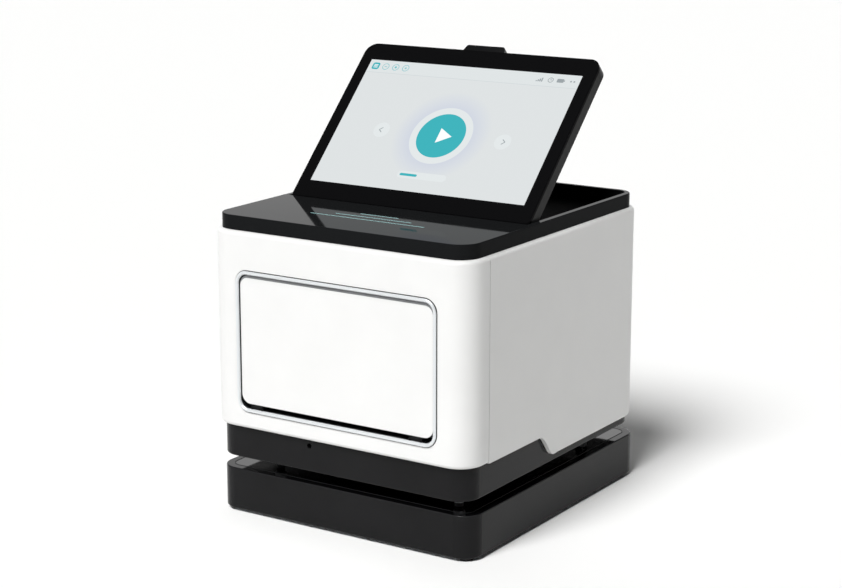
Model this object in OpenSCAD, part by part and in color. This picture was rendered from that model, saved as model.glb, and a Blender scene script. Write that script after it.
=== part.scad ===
// Benchtop sequencer: a white instrument body on a black plinth, with a tilting display on top,
// a drop-down door at the front and a loading drawer behind it.
// Millimetres, +Z up, -Y is the front, origin at the bottom centre of the whole instrument.

/* [Body panels] */
// Width of the body
body_w = 328; // [316:1:340]
// Depth of the body
body_d = 365.3; // [355:0.1:380]
// Height of the front panel
panel_h = 214.2; // [208:0.1:225]
// Wall thickness of the moulded panels
panel_t = 3; // [2.5:0.1:3.5]
// Plan radius of the two front corners
front_corner_r = 28.7; // [24:0.1:32]
// Plan radius of the two rear corners
rear_corner_r = 26.8; // [24:0.1:30]
// Rounding of the shoulder at the top of the panels
shoulder_r = 4.5; // [3.5:0.1:5.5]
// Rounding of the lower edge of the panels
hem_r = 4.4; // [3:0.1:4.5]
// Distance of the panel seam behind the front face
seam_back = 38.2; // [34:0.1:45]
// Width of the seam between two panels
seam_gap = 1; // [0.5:0.1:1.3]
// How much lower the side panels reach at the rear than at the front
side_drop = 26.9; // [20:0.1:30]
// Distance from the front face to where the lower edge of the side panel starts to sweep down
sweep_start = 139.6; // [120:0.1:160]
// Radius of the two arcs in that sweep
sweep_r = 18; // [14:0.5:22]
// Slope of that sweep between its arcs, in degrees
sweep_slope = 52; // [45:1:60]

/* [Plinth] */
// Height of the plinth without its feet
base_h = 46.7; // [42:0.1:52]
// Wall thickness of the plinth
base_wall = 3; // [2.5:0.1:4]
// How far the plinth stands back from the front of the body
base_front_inset = 8.4; // [6:0.1:12]
// How far the plinth stands in from each side of the body
base_side_inset = 2.2; // [1:0.1:6]
// How far the plinth reaches past the back of the body
base_rear_reach = 4.8; // [3:0.1:8]
// Plan radius of the plinth's corners
base_corner_r = 21.7; // [19:0.1:25]
// Width of the flat rim round the plinth's top plate
base_rim = 9.5; // [7:0.1:11]
// Thickness of the plinth's top plate
base_plate_t = 2.4; // [2:0.1:3]
// Height of the plinth's rubber feet below its walls
foot_h = 3; // [2:0.1:5]
// Radius of the plinth's rubber feet
foot_r = 8; // [6:0.1:11]
// Distance of each rubber foot's centre from the plinth's walls
foot_inset = 14.5; // [14:0.1:20]

/* [Chassis] */
// Free height between the plinth and the chassis
unit_gap = 14.5; // [12:0.1:18]
// Height of the chassis that shows below the front panel
chassis_show = 35.7; // [33:0.1:40]
// How far the chassis stands back from the front face
chassis_front_inset = 5.9; // [5:0.1:7]
// How far the chassis stands in from each side
chassis_side_inset = 4.9; // [4.8:0.1:6]
// Wall thickness of the chassis
chassis_t = 2.5; // [2:0.1:3]
// Radius of the round hole in the chassis front
pinhole_r = 2.9; // [2:0.1:4]
// Distance of that hole to the left of the middle
pinhole_x = 37; // [20:1:60]
// Height of that hole above the chassis bottom
pinhole_z = 28.3; // [20:0.1:32]

/* [Top cover] */
// Height of the top cover above the panels
cover_h = 15.6; // [15:0.1:19]
// How far the top cover stands in from the body all round
cover_inset = 5.3; // [4:0.1:7]
// Depth of the front strip of the cover, in front of the display recess
strip_d = 124.4; // [115:0.1:130]
// Clearance between the folded display and the recess
display_gap = 0.5; // [0.4:0.1:1]

/* [Display] */
// How far the display housing stands in from each side of the top cover
display_side = 7; // [6.7:0.1:12]
// Thickness of the display housing
display_t = 15.5; // [15:0.1:16]
// Radius of the display's upper corners
display_r = 14; // [10:0.1:16]
// Frame beside the lit screen
side_frame = 15; // [12:0.1:20]
// Height of the lit screen
screen_h = 171.2; // [160:0.1:173]
// Frame above the lit screen
top_frame = 23.5; // [20:0.1:25]
// Frame below the lit screen
bottom_frame = 22.5; // [20:0.1:25]
// Height of the finger tab on the display's upper edge
tab_h = 9.6; // [8:0.1:10]
// Half width of the finger tab at its root
tab_root = 27.9; // [24:0.1:34]
// Half width of the finger tab at its tip
tab_tip = 24; // [18:0.1:25]
// Rounding of the finger tab's two tip corners
tab_r = 3; // [1:0.1:4]
// Tilt of the display from flat, in degrees
display_tilt = 45; // [30:1:60]
// Depth of the display's hinge axis below its front face
hinge_depth = 5; // [4.8:0.1:6]
// Radius of the display's hinge pins
hinge_pin_r = 1.5; // [1.2:0.1:1.8]

/* [Door] */
// Distance of the bead round the door from each side of the body
ring_side = 37.9; // [35:0.1:42]
// Height of the bead round the door
ring_h = 154.4; // [148:0.1:160]
// Width of the bead's band
ring_band = 4.1; // [3.8:0.1:6]
// Outer corner radius of the bead
ring_r = 14.5; // [13:0.1:17]
// How far the bead stands out from the panel
ring_proud = 1.8; // [1.2:0.1:2.4]
// Height of the bead's lower edge above the front panel's lower edge
ring_lift = 18.9; // [16:0.1:24]
// Groove between the bead and the front panel
ring_groove = 0.6; // [0.3:0.1:0.9]
// Dark gap below the door
door_gap_low = 5; // [4.8:0.1:5.5]
// Gap beside and above the door
door_gap = 0.8; // [0.5:0.1:1]
// How far the door's face is set back from the panel
door_recess = 1.2; // [1:0.1:3.5]
// Thickness of the door
door_t = 12; // [10:0.1:13]

/* [Drawer] */
// Travel of the loading drawer
drawer_travel = 120; // [90:1:122]
// Width of the cartridge pocket in the drawer
pocket_w = 118; // [100:1:130]
// Free length behind the closed drawer
drawer_rear_gap = 13.8; // [8:0.1:20]
// Height of the drawer's side walls
drawer_wall_h = 22; // [15:1:30]
// Width of each drawer rail
rail_w = 8; // [6:0.5:10]
// Height of each drawer rail
rail_h = 10; // [9:0.5:12]
// Distance between the two drawer rails
rail_span = 140; // [120:1:150]
// Running clearance of the drawer on its rails
rail_gap = 0.3; // [0.2:0.05:0.4]

/* [Rear fan] */
// Outside size of the square fan
fan_size = 92; // [80:1:92]
// Depth of the fan
fan_depth = 25; // [20:0.5:28]
// Radius of the fan's air way
fan_bore_r = 43; // [36:0.5:43]
// Distance of the fan from the right edge of the rear opening
fan_edge = 13.2; // [8:0.1:20]
// Distance of the mains inlet's centre from the left edge of the rear opening
inlet_edge = 35.2; // [33:0.1:40]

/* [Hidden] */
$fn = 48;
EPS = 0.01;

// Heights from the floor up
base_top = foot_h + base_h;
unit_z = base_top + unit_gap;
panel_z = unit_z + chassis_show;
panel_top = panel_z + panel_h;
cover_top = panel_top + cover_h;

// Plan places, measured from the centre of the body
front_y = -body_d / 2;
rear_y = body_d / 2;
side_x = body_w / 2;
seam_y = front_y + seam_back;
base_front = front_y + base_front_inset;
base_rear = rear_y + base_rear_reach;
base_w = body_w - 2 * base_side_inset;
base_d = base_rear - base_front;
base_mid_y = (base_rear + base_front) / 2;
// The whole instrument runs from the bead on the door to the back of the plinth
centre_y = (base_rear + front_y - ring_proud) / 2;

rear_panel_t = 2;
screw_r = 1.5;
chassis_w = body_w - 2 * chassis_side_inset;
chassis_front = front_y + chassis_front_inset;
chassis_rear = rear_y - panel_t - rear_panel_t;
chassis_d = chassis_rear - chassis_front;
chassis_mid_y = (chassis_rear + chassis_front) / 2;
chassis_h = chassis_show + 4;
floor_t = 3;
deck_floor = unit_z + floor_t;

// Panels
top_lip = 8;
hem_lip = chassis_side_inset - 0.3;
front_hem_lip = chassis_front_inset - 0.3;
rear_return = 8;
rear_gap_w = body_w - 2 * (rear_corner_r + rear_return);

// Cover and display, the display in its own frame: origin on the hinge axis, Y up its face, Z out of it
cover_w = body_w - 2 * cover_inset;
cover_d = body_d - 2 * cover_inset;
display_w = cover_w - 2 * display_side;
screen_w = display_w - 2 * side_frame;
display_low = 1.5;
display_l = top_frame + screen_h + bottom_frame;
display_high = display_low + display_l;
display_back_z = hinge_depth - display_t;
hinge_z = cover_top - hinge_depth;
hinge_y = front_y + cover_inset + strip_d + 6.4;
recess_floor = hinge_z + display_back_z - 0.7;
recess_w = display_w + 2 * display_gap;
recess_front = front_y + cover_inset + strip_d;
recess_rear = hinge_y + display_high + display_gap;
bezel_t = 3.4;
bezel_back = hinge_depth - bezel_t;
screen_low = display_low + bottom_frame;
shell_t = 2.2;
soft_edge = 0.6;
tab_t = 7;
tab_lean = atan((tab_root - tab_tip) / (tab_h + 1));
tab_centre = tab_tip - tab_r * tan(45 - tab_lean / 2);
knuckle_r = hinge_pin_r + 1.7;
knuckle_l = 10;
barrel_l = 24;
hinge_x = display_w / 2 - 43.7;
bracket_foot = 1.6;
hinge_screw_x = barrel_l / 2 + 5.5;
hinge_screw_y = -2.4;
small_screw_r = 1;
hinge_w = barrel_l + 2 * knuckle_l + 0.8;
pin_run = 0.05;

// Door
ring_w = body_w - 2 * ring_side;
ring_z = panel_z + ring_lift;
ring_mid_z = ring_z + ring_h / 2;
open_w = ring_w - 2 * ring_band;
open_h = ring_h - 2 * ring_band;
open_r = ring_r - ring_band;
open_low = ring_z + ring_band;
open_high = open_low + open_h;
door_w = open_w - 2 * door_gap;
door_low = open_low + door_gap_low;
door_high = open_high - door_gap;
door_h = door_high - door_low;
door_face_y = front_y + door_recess;
door_back_y = door_face_y + door_t;
door_axis_z = open_low + 2.3;
door_axis_y = door_face_y + 0.3;
door_pin_r = 1;
ear_r = 2;
ear_w = 10;
ear_x = door_w / 2 - 20.7;
lug_t = 2.5;
door_liner_t = 3;
door_r = open_r + 0.7;
frame_front = front_y + panel_t;
frame_depth = 15.6;
frame_back = frame_front + frame_depth;
frame_band = side_x - front_corner_r - open_w / 2 - 0.3;

// Bay and drawer
bay_wall = 2;
bay_w = open_w + 4;
rear_space = 107;
bay_rear = rear_y - rear_space;
bay_roof = open_high + 4;
deck_t = 4;
deck_top = door_axis_z + 26.4;
drawer_front = door_back_y + 40;
drawer_l = bay_rear - bay_wall - drawer_rear_gap - drawer_front;
pocket_l = drawer_l - 60;
chip_back = 62;
guide_t = 4;
carriage_low = deck_top + 4;
carriage_high = deck_top + rail_h + rail_gap + 2;
carriage_l = 50;
plate_t = 4;
plate_top = carriage_high + plate_t;
carriage_rear = drawer_front + drawer_l - 5;
rail_front = carriage_rear - carriage_l - drawer_travel - 10;
rail_rear = drawer_front + drawer_l;
head_low = plate_top + 58;

// Rear fittings
fan_x = rear_gap_w / 2 - fan_size / 2 - fan_edge;
fan_z = panel_z + 118;
fan_y = rear_y - panel_t - rear_panel_t;
fan_hub_r = 19;
spindle_r = 3;
inlet_x = inlet_edge - rear_gap_w / 2;
inlet_z = unit_z + 42;
switch_x = inlet_x + 38;
port_x = inlet_x + 34;
port_z = panel_z + 60;
rocker_tilt = 8;
network_x = -21;
network_w = 16;
network_h = 14.6;
usb_x = [5, 21];
usb_w = 13.6;
usb_h = 6.8;

// ---------------------------------------------------------------- shared shapes

// Every node is drawn round the centre of the body and moved so that the origin is central
module set_down() translate([0, -centre_y, 0]) children();

// Rectangle with four round corners
module round_rect(w, h, r) {
  square([w - 2 * r, h], center = true);
  square([w, h - 2 * r], center = true);
  for (x = [-1, 1], y = [-1, 1]) translate([x * (w / 2 - r), y * (h / 2 - r)]) circle(r);
}

// Plan with its own front and rear corner radii
module plan(w, d, rf, rr) {
  translate([-w / 2, -d / 2 + rf]) square([w, d - rf - rr]);
  translate([-w / 2 + rf, -d / 2]) square([w - 2 * rf, d / 2]);
  translate([-w / 2 + rr, 0]) square([w - 2 * rr, d / 2]);
  for (s = [-1, 1]) {
    translate([s * (w / 2 - rf), -d / 2 + rf]) circle(rf);
    translate([s * (w / 2 - rr), d / 2 - rr]) circle(rr);
  }
}

// A wall profile has X as the distance in from the outer face and Y as the height.
// It runs along the right side, along the front, or round the front right corner.
module side_run(w, y0, y1) {
  translate([w / 2, y1, 0]) rotate([90, 0, 0]) linear_extrude(y1 - y0) mirror([1, 0]) children();
}
module front_run(d, x0, x1) {
  translate([x0, -d / 2, 0]) rotate([90, 0, 90]) linear_extrude(x1 - x0) children();
}
module front_corner(w, d, r) {
  translate([w / 2 - r, -d / 2 + r, 0]) rotate([0, 0, -90])
    rotate_extrude(angle = 90) translate([r, 0]) mirror([1, 0]) children();
}

// A wall profile all the way round a plan
module plan_sweep(w, d, rf, rr) {
  front_run(d, rf - w / 2, w / 2 - rf) children();
  mirror([0, 1, 0]) front_run(d, rr - w / 2, w / 2 - rr) children();
  for (m = [0, 1]) mirror([m, 0, 0]) {
    side_run(w, rf - d / 2, d / 2 - rr) children();
    front_corner(w, d, rf) children();
    mirror([0, 1, 0]) front_corner(w, d, rr) children();
  }
}

// Slab whose outer corners are rounded below by r0 and above by r1
module round_slab(depth, h, r0, r1) {
  translate([0, r0]) square([depth, h - r0 - r1]);
  translate([r0, 0]) square([depth - r0, r0 + EPS]);
  translate([r1, h - r1 - EPS]) square([depth - r1, r1 + EPS]);
  translate([r0, r0]) circle(r0);
  translate([r1, h - r1]) circle(r1);
}

// Plate of a given plan with its upper edge rounded by r
module soft_plate(w, d, rf, rr, h, r) {
  linear_extrude(h - r) plan(w, d, rf, rr);
  linear_extrude(h) plan(w - 2 * r, d - 2 * r, rf - r, rr - r);
  translate([0, 0, h - r]) plan_sweep(w, d, rf, rr) translate([r, 0]) circle(r, $fn = 24);
}

// Pan head screw, its head above the origin and its shank below
module pan_screw(head_r, head_h, shank_r, shank_l) {
  difference() {
    union() {
      cylinder(r1 = head_r, r2 = head_r * 0.75, h = head_h);
      translate([0, 0, -shank_l]) cylinder(r = shank_r, h = shank_l + EPS);
    }
    for (a = [0, 90]) rotate([0, 0, a]) translate([0, 0, head_h]) cube([head_r * 1.1, 0.6, head_h], center = true);
  }
}

// ---------------------------------------------------------------- plinth

base_plate_w = base_w - 2 * base_rim - 0.8;
base_plate_d = base_d - 2 * base_rim - 0.8;
base_plate_r = base_corner_r - base_rim - 0.4;
base_plate_edge = 0.6;
ledge = 6;

// Wall, flat rim with its inner edge broken, and the ledge that carries the top plate
module base_profile() {
  difference() {
    round_slab(base_rim, base_h, 2, 1.2);
    translate([base_wall, -1]) square([base_rim, base_h - base_plate_t - 2]);
    translate([base_rim, base_h]) rotate(45) square(base_plate_edge * sqrt(2), center = true);
  }
  translate([base_rim - 1, base_h - base_plate_t - 3]) square([ledge + 1, 3]);
}

module base_shell() set_down() color("#262626") translate([0, base_mid_y, foot_h]) {
  plan_sweep(base_w, base_d, base_corner_r, base_corner_r) base_profile();
  // Cross ribs under the top plate
  for (y = [-1, 0, 1])
    translate([0, y * base_d / 4, (base_h - base_plate_t) / 2 + 1])
      cube([base_w - 2 * base_wall + 1, 2.5, base_h - base_plate_t - 2], center = true);
}

module base_top_plate() set_down() color("#1c1c1c")
  translate([0, base_mid_y, base_top - base_plate_t])
    soft_plate(base_plate_w, base_plate_d, base_plate_r, base_plate_r, base_plate_t, base_plate_edge);

base_foot_x = base_w / 2 - foot_inset;
base_foot_y = base_d / 2 - foot_inset;

// Steel plate inside the walls, below the ribs
module base_bottom_plate() set_down() color("#8c8f92") translate([0, base_mid_y, foot_h]) difference() {
  linear_extrude(1.8)
    round_rect(base_w - 2 * base_wall - 0.6, base_d - 2 * base_wall - 0.6, base_corner_r - base_wall);
  for (x = [-1, 1], y = [-1, 1]) translate([x * base_foot_x, y * base_foot_y, -1]) cylinder(r = 2.2, h = 4);
}

module base_feet() set_down() color("#1a1a1a") translate([0, base_mid_y, 0])
  for (x = [-1, 1], y = [-1, 1]) translate([x * base_foot_x, y * base_foot_y, 0])
    rotate_extrude() difference() {
      square([foot_r, foot_h]);
      translate([foot_r - 1.2, -0.01]) polygon([[0, 0], [1.3, 0], [1.3, 1.3]]);
      translate([-1, -1]) square([1 + 3.6, 1 + foot_h - 1]);
      translate([-1, -1]) square([1 + 2.05, 2 + foot_h]);
    }

// One screw through each foot and the bottom plate
module base_screws() set_down() color("#9a9da0") translate([0, base_mid_y, foot_h - 1])
  for (x = [-1, 1], y = [-1, 1]) translate([x * base_foot_x, y * base_foot_y, 0])
    mirror([0, 0, 1]) pan_screw(3.4, foot_h - 1.4, 2, 6);

// ---------------------------------------------------------------- chassis and its feet

front_foot_y = chassis_front + 30.75;
rear_foot_y = chassis_rear - 37.65;
foot_places = [
  [61.1 - chassis_w / 2, front_foot_y],
  [chassis_w / 2 - 29.1, front_foot_y],
  [44.1 - chassis_w / 2, rear_foot_y],
  [chassis_w / 2 - 44.1, rear_foot_y]
];
pad_h = 6;

module unit_feet() set_down() color("#9b9ea0")
  for (p = foot_places) translate([p[0], p[1], base_top + pad_h])
    rotate_extrude() {
      square([6.5, unit_gap - pad_h]);
      translate([0, -1.5]) square([5, 1.5]);
      intersection() {
        translate([5, 0]) circle(1.5, $fn = 24);
        translate([5, -1.5]) square([1.5, 2]);
      }
    }

module unit_foot_pads() set_down() color("#151515")
  for (p = foot_places) translate([p[0], p[1], base_top]) cylinder(r = 4.5, h = pad_h - 1.5);

module chassis_profile() {
  difference() {
    round_slab(9, chassis_h, 2, 0.6);
    translate([chassis_t, floor_t]) square([9, chassis_h]);
  }
}

chassis_rf = front_corner_r - chassis_front_inset;
chassis_rr = rear_corner_r - panel_t - rear_panel_t;

module chassis_tray() set_down() color("#232323") translate([0, 0, unit_z]) difference() {
  translate([0, chassis_mid_y, 0]) {
    plan_sweep(chassis_w, chassis_d, chassis_rf, chassis_rr) chassis_profile();
    linear_extrude(floor_t) plan(chassis_w - 8, chassis_d - 8, chassis_rf - 4, chassis_rr - 4);
  }
  translate([-pinhole_x, chassis_front + chassis_t + 1, pinhole_z]) rotate([90, 0, 0])
    cylinder(r = pinhole_r, h = chassis_t + 2);
  // Air slots in the floor below the pumps and boards
  for (i = [-5:5]) translate([i * 12, 60, -1]) cube([4, 70, 12], center = true);
  // Rear wall is cut low for the mains inlet and switch
  translate([inlet_x - 20, chassis_rear - 8, floor_t + 14]) cube([switch_x - inlet_x + 35, 12, chassis_h]);
  for (p = rear_screw_places) translate([p[0], rear_y, p[1] - unit_z]) rotate([90, 0, 0])
    cylinder(r = screw_r + pin_run, h = 20);
}

// ---------------------------------------------------------------- white panels

// Wall with a rounded shoulder, a lip under the cover and a short return at the hem
module panel_profile(h, hem) {
  difference() {
    round_slab(top_lip, h, hem_r, shoulder_r);
    translate([panel_t, panel_t]) square([top_lip, h - 2 * panel_t]);
    translate([hem, -1]) square([top_lip, panel_t + 2]);
    // The shoulder's round ends with the lip
    translate([top_lip, h / 2]) square([2 * shoulder_r, h]);
  }
}

module front_panel() set_down() color("#fafafa") difference() {
  translate([0, 0, panel_z]) {
    front_run(body_d, front_corner_r - side_x, side_x - front_corner_r) panel_profile(panel_h, front_hem_lip);
    for (m = [0, 1]) mirror([m, 0, 0]) {
      front_corner(body_w, body_d, front_corner_r) panel_profile(panel_h, hem_lip);
      side_run(body_w, front_y + front_corner_r, seam_y) panel_profile(panel_h, hem_lip);
    }
  }
  translate([0, front_y - 1, ring_mid_z]) rotate([-90, 0, 0]) linear_extrude(panel_t + 2)
    round_rect(ring_w + 2 * ring_groove, ring_h + 2 * ring_groove, ring_r + ring_groove);
  mirror([1, 0, 0]) seam_foot();
  seam_foot();
}

// Small notch at the foot of each panel seam
module seam_foot() translate([side_x, seam_y + seam_gap / 2, panel_z]) rotate([45, 0, 0])
  cube([2 * top_lip, 2, 2], center = true);

// Points along an arc round (y, z) from angle a0 to a1
function arc_points(y, z, r, a0, a1, n = 12) =
  [for (i = [0:n]) let (a = a0 + (a1 - a0) * i / n) [y + r * cos(a), z + r * sin(a)]];

// What is cut from the lower front of a side panel: a level edge, two arcs and a slope between
sweep_y = front_y + sweep_start;
sweep_turn = sweep_r * (1 - cos(sweep_slope));
sweep_mid = (side_drop - 2 * sweep_turn) / sin(sweep_slope);
sweep_end = sweep_y + 2 * sweep_r * sin(sweep_slope) + sweep_mid * cos(sweep_slope);

module sweep_cut() polygon(concat(
  [[seam_y - 5, -10], [seam_y - 5, side_drop]],
  arc_points(sweep_y, side_drop - sweep_r, sweep_r, 90, 90 - sweep_slope),
  arc_points(sweep_end, sweep_r, sweep_r, 270 - sweep_slope, 270),
  [[sweep_end, -10]]
));

// Right side panel; the left one is its mirror image
module side_panel() translate([0, 0, panel_z - side_drop]) {
  difference() {
    union() {
      side_run(body_w, seam_y + seam_gap, rear_y - rear_corner_r)
        panel_profile(panel_h + side_drop, hem_lip);
      mirror([0, 1, 0]) {
        front_corner(body_w, body_d, rear_corner_r) panel_profile(panel_h + side_drop, hem_lip);
        front_run(body_d, side_x - rear_corner_r - rear_return, side_x - rear_corner_r)
          panel_profile(panel_h + side_drop, hem_lip);
      }
    }
    translate([side_x - top_lip - 5, 0, 0]) rotate([90, 0, 90]) linear_extrude(top_lip + 10) sweep_cut();
    translate([0, 0, side_drop - panel_z]) seam_foot();
  }
  // Hem that follows the swept edge
  translate([side_x - hem_lip, 0, 0]) rotate([90, 0, 90]) linear_extrude(hem_lip - 1) difference() {
    intersection() {
      translate([1.8, 2.2]) sweep_cut();
      translate([seam_y + seam_gap, 1]) square([sweep_end - seam_y + 10, side_drop + 10]);
    }
    sweep_cut();
  }
}

module right_side_panel() set_down() color("#f4f4f4") side_panel();
module left_side_panel() set_down() color("#f4f4f4") mirror([1, 0, 0]) side_panel();

rear_z0 = panel_z - side_drop + panel_t + 0.5;
rear_h = panel_top - panel_t - 0.5 - rear_z0;
rear_w = rear_gap_w + 10;
slot_rows = 11;
slot_pitch = 9;

// Sheet metal back with the fan hole, air slots, and cut-outs for the inlet, switch and ports
module rear_panel() set_down() color("#e6e7e8") translate([0, rear_y - panel_t, 0]) difference() {
  translate([0, 0, rear_z0 + rear_h / 2]) rotate([90, 0, 0]) linear_extrude(rear_panel_t)
    round_rect(rear_w, rear_h, 3);
  translate([fan_x, 1, fan_z]) rotate([90, 0, 0]) cylinder(r = fan_bore_r, h = rear_panel_t + 2);
  for (x = [-1, 1], z = [-1, 1]) translate([fan_x + x * fan_screw, 1, fan_z + z * fan_screw])
    rotate([90, 0, 0]) cylinder(r = 2.2, h = rear_panel_t + 2);
  for (i = [0:slot_rows - 1], c = [0, 1])
    translate([inlet_x - 4 + c * 44, -rear_panel_t / 2, port_z + 42 + i * slot_pitch]) rotate([90, 0, 0])
      linear_extrude(rear_panel_t + 2, center = true) round_rect(34, 3.4, 1.69);
  for (i = [0:5])
    translate([fan_x - 30 + i * 12, -rear_panel_t / 2, panel_z + 30]) rotate([90, 0, 0])
      linear_extrude(rear_panel_t + 2, center = true) round_rect(3.4, 34, 1.69);
  translate([inlet_x, 0, inlet_z]) cube([27.4, 6, 20.4], center = true);
  translate([switch_x, 0, inlet_z]) cube([19.4, 6, 13.4], center = true);
  translate([port_x + network_x, 0, port_z]) cube([network_w + 0.4, 6, network_h + 0.4], center = true);
  for (x = usb_x) translate([port_x + x, 0, port_z]) cube([usb_w + 0.4, 6, usb_h + 0.4], center = true);
  for (p = rear_screw_places) translate([p[0], 1, p[1]]) rotate([90, 0, 0])
    cylinder(r = 1.8, h = rear_panel_t + 2);
}

rear_screw_places = [
  for (x = [-1, 1], z = [14, rear_h / 2, rear_h - 14]) [x * (rear_gap_w / 2 - 7), rear_z0 + z]
];

module rear_screws() set_down() color("#b4b6b8")
  for (p = rear_screw_places) translate([p[0], rear_y - panel_t, p[1]]) rotate([-90, 0, 0])
    pan_screw(3, 1.8, screw_r, rear_panel_t + 5);

// ---------------------------------------------------------------- top cover and status light

cover_rf = front_corner_r - cover_inset;
cover_rr = rear_corner_r - cover_inset;
cover_wall = 3;
light_y = front_y + 72.6;
light_pitch = 12;
light_lengths = [143, 96, 48];
light_w = 1.4;
light_depth = 1;

module light_bars(grow) for (i = [0:2])
  translate([0, light_y + (i - 1) * light_pitch, cover_top - light_depth])
    linear_extrude(light_depth + grow)
      round_rect(light_lengths[i] + 2 * grow, light_w + 2 * grow, light_w / 2 + grow - EPS);

module top_cover() set_down() color("#141414") difference() {
  union() {
    translate([0, 0, panel_top]) soft_plate(cover_w, cover_d, cover_rf, cover_rr, cover_h, 1);
    translate([0, 0, recess_floor - cover_wall + 0.5]) linear_extrude(panel_top - recess_floor + cover_wall)
      plan(body_w - 2 * top_lip - 1, body_d - 2 * top_lip - 1, front_corner_r - top_lip, rear_corner_r - top_lip);
  }
  // Recess that takes the folded display flush
  translate([0, 0, recess_floor]) linear_extrude(cover_h + 5) {
    translate([-recess_w / 2, recess_front]) square([recess_w, (recess_rear - recess_front) / 2]);
    translate([0, (recess_rear + recess_front) / 2])
      round_rect(recess_w, recess_rear - recess_front, display_r + display_gap);
  }
  // Finger notch in the rear rim for the display's tab
  translate([0, rear_y - cover_inset, hinge_z - 6]) linear_extrude(20)
    square([2 * tab_root + 8, 2 * (rear_y - cover_inset - recess_rear) + 8], center = true);
  // Hollow under the front strip
  translate([0, (front_y + cover_inset + recess_front) / 2, panel_top - 10])
    linear_extrude(cover_h + 10 - cover_wall)
      round_rect(body_w - 2 * top_lip - 8, recess_front - front_y - cover_inset - 2 * 10, 6);
  light_bars(0.15);
  at_hinge_screws() translate([0, 0, recess_floor - 2.4]) cylinder(r = small_screw_r + pin_run, h = 3);
}

module status_light_bars() set_down() color("#8fb8b8") light_bars(0);

// Board with a row of lamps behind each bar, on two spacers under the strip
module status_light_board() set_down() color("#1f5e46") {
  translate([0, light_y, cover_top - cover_wall - 4.8]) {
    cube([150, 40, 1.6], center = true);
    for (i = [0:2], n = [-2:2])
      translate([n * light_lengths[i] / 6, (i - 1) * light_pitch, 1.4]) cube([3, 2.6, 1.4], center = true);
    for (s = [-1, 1]) translate([s * 70, 0, 0]) cylinder(r = 3, h = 4.8);
  }
}

// Four small rubber pads that the folded display rests on
module display_bumpers() set_down() color("#101010")
  for (x = [-1, 1], y = [0, 1])
    translate([x * (display_w / 2 - 31.7), hinge_y + 60 + y * 120, recess_floor]) cylinder(r = 5, h = 0.4);

// ---------------------------------------------------------------- display

module at_display() translate([0, hinge_y, hinge_z]) rotate([display_tilt, 0, 0]) children();

// Outline of the display housing, drawn from its hinge axis up
module display_outline(inset) {
  w = display_w - 2 * inset;
  r = display_r - inset;
  low = display_low + inset;
  high = display_high - inset;
  foot = 4;
  translate([-w / 2 + foot, low]) square([w - 2 * foot, (high - low) / 2]);
  translate([-w / 2, low + foot]) square([w, high - low - foot - r]);
  translate([-w / 2 + r, high - r - 1]) square([w - 2 * r, r + 1]);
  for (s = [-1, 1]) {
    translate([s * (w / 2 - r), high - r]) circle(r);
    translate([s * (w / 2 - foot), low + foot]) circle(foot);
  }
}

// Cut round each hinge, left open in the display's lower edge
module hinge_cuts(z0, z1) for (s = [-1, 1])
  translate([s * hinge_x - hinge_w / 2 - 0.5, 0, z0]) cube([hinge_w + 1, knuckle_r + 0.6, z1 - z0]);

module display_bezel() set_down() color("#0d0d0d") at_display() difference() {
  union() {
    translate([0, 0, bezel_back]) linear_extrude(bezel_t - soft_edge) display_outline(0);
    translate([0, 0, bezel_back]) linear_extrude(bezel_t) display_outline(soft_edge);
  }
  translate([-screen_w / 2 - 0.2, screen_low - 0.2, bezel_back - 1])
    cube([screen_w + 0.4, screen_h + 0.4, bezel_t + 2]);
  hinge_cuts(bezel_back - 1, knuckle_r + 0.3);
}

lcd_flange = 3;
lcd_t = 3.4;

module lcd_panel() set_down() color("#dfe3e4") at_display() {
  translate([-screen_w / 2, screen_low, bezel_back - EPS]) cube([screen_w, screen_h, bezel_t - 0.2]);
  translate([-screen_w / 2 - lcd_flange, screen_low - lcd_flange, bezel_back - lcd_t])
    cube([screen_w + 2 * lcd_flange, screen_h + 2 * lcd_flange, lcd_t]);
}

module display_back() set_down() color("#1b1b1b") at_display() {
  difference() {
    union() {
      translate([0, 0, display_back_z + soft_edge])
        linear_extrude(bezel_back - display_back_z - soft_edge) display_outline(0);
      translate([0, 0, display_back_z]) linear_extrude(2 * soft_edge) display_outline(soft_edge);
    }
    translate([0, 0, display_back_z + shell_t]) linear_extrude(display_t) display_outline(shell_t);
    hinge_cuts(display_back_z - 1, bezel_back + 1);
    // Slot through which each hinge leaf enters the housing
    for (s = [-1, 1]) translate([s * hinge_x - hinge_w / 2 - 0.5, 0, -knuckle_r - 0.3])
      cube([hinge_w + 1, 12, knuckle_r + 0.3 + bezel_back]);
    // Air slots along the back
    for (i = [-9:9]) translate([i * 9, display_high - 34, display_back_z - 1])
      linear_extrude(shell_t + 2) round_rect(3, 22, 1.49);
  }
  // Finger tab
  translate([0, 0, bezel_back - tab_t]) linear_extrude(tab_t) polygon(concat(
    [[tab_root, display_high - 1]],
    arc_points(tab_centre, display_high + tab_h - tab_r, tab_r, tab_lean, 90),
    arc_points(-tab_centre, display_high + tab_h - tab_r, tab_r, 90, 180 - tab_lean),
    [[-tab_root, display_high - 1]]
  ));
}

board_z = display_back_z + shell_t + 1.2;

module display_board() set_down() color("#1f5e46") at_display() {
  translate([-70, 60, board_z]) cube([140, 90, 1.2]);
  translate([-40, 80, board_z + 1.1]) cube([22, 22, 1.1]);
  translate([0, 90, board_z + 1.1]) cube([14, 14, 1.1]);
  translate([30, 70, board_z + 1.1]) cube([30, 8, 1.1]);
  for (x = [-64, 64], y = [66, 144]) translate([x, y, display_back_z + shell_t]) cylinder(r = 2.5, h = 1.3);
}

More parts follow.
